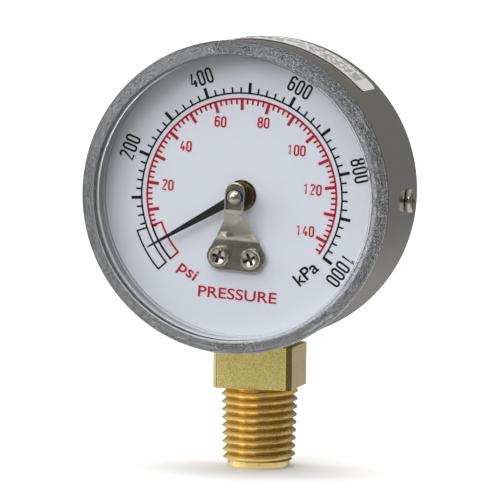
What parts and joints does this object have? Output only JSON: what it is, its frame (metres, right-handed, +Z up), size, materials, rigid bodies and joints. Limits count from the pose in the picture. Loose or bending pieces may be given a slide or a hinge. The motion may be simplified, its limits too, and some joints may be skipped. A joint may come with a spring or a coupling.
{
  "type": "pressure gauge",
  "caption": "Bottom-entry dial pressure gauge: steel case, clear window, black pointer on a white dual-scale dial, and a brass stem with a taper thread.",
  "frame": {"origin": "centre of the stem's threaded end face, on the stem axis", "axes": "+Z up the stem towards the case, -Y out of the dial, +X to the right as the dial is read"},
  "size_m": [0.0568, 0.0291, 0.0765],
  "materials": {
    "plated_steel": "polished plated steel, dark warm grey",
    "clear_plastic": "clear moulded plastic window",
    "dial_white": "white printed aluminium, satin",
    "label_stock": "printed adhesive label",
    "brass": "machined brass",
    "bronze": "phosphor bronze, drawn",
    "nickel": "nickel plate",
    "steel": "plain steel",
    "pointer_black": "matt black"
  },
  "bodies": {
    "gauge_body": {"case": "plated_steel", "window": "clear_plastic", "dial": "dial_white", "rating_label": "label_stock", "case_screw_left": "nickel", "case_screw_right": "nickel", "case_yoke": "steel", "yoke_screw_upper": "steel", "yoke_screw_lower": "steel", "stem": "brass", "bourdon_tube": "bronze", "hairspring": "bronze", "hairspring_stud": "brass", "movement_front_plate": "brass", "movement_back_plate": "brass", "movement_pillar_1": "brass", "movement_pillar_2": "brass", "movement_pillar_3": "brass", "plate_screw_1": "brass", "plate_screw_2": "brass", "plate_screw_3": "brass", "socket_screw_left": "brass", "socket_screw_right": "brass", "dial_spacer_left": "brass", "dial_spacer_right": "brass", "front_bridge": "nickel", "bridge_screw_left": "nickel", "bridge_screw_right": "nickel"},
    "pointer_shaft": {"pointer": "pointer_black", "pointer_hub": "brass", "pinion_arbor": "steel"},
    "sector": {"sector_gear": "brass", "sector_arbor": "steel", "link_pin_sector": "steel"},
    "tube_tip": {"tube_tip_block": "brass", "link_pin_tip": "steel"},
    "link_bar": {"link": "steel"}
  },
  "joints": [
    {"name": "sector_swing", "type": "hinge", "parent": "gauge_body", "child": "sector", "pos_m": [0.00656, -0.007, 0.03717], "axis": [0, 1, 0], "range_deg": [-25, 0], "stiffness_Nm_per_rad": 0.002},
    {"name": "pointer_turn", "type": "hinge", "parent": "gauge_body", "child": "pointer_shaft", "pos_m": [0, -0.0162, 0.04925], "axis": [0, 1, 0], "range_deg": [0, 250], "deforming": ["hairspring"]},
    {"name": "tube_tip_flex", "type": "hinge", "parent": "gauge_body", "child": "tube_tip", "pos_m": [-0.00372, -0.0027, 0.05117], "axis": [0, 1, 0], "range_deg": [-6.4, 0], "deforming": ["bourdon_tube"]},
    {"name": "link_swing", "type": "hinge", "parent": "tube_tip", "child": "link_bar", "pos_m": [0.01463, -0.0083, 0.03902], "axis": [0, 1, 0], "range_deg": [0, 9.6]}
  ],
  "couplings": [
    {"joint": "pointer_turn", "follows": "sector_swing", "ratio": -10},
    {"joint": "tube_tip_flex", "follows": "sector_swing", "ratio": 0.2528},
    {"joint": "link_swing", "follows": "sector_swing", "ratio": -0.3803}
  ]
}
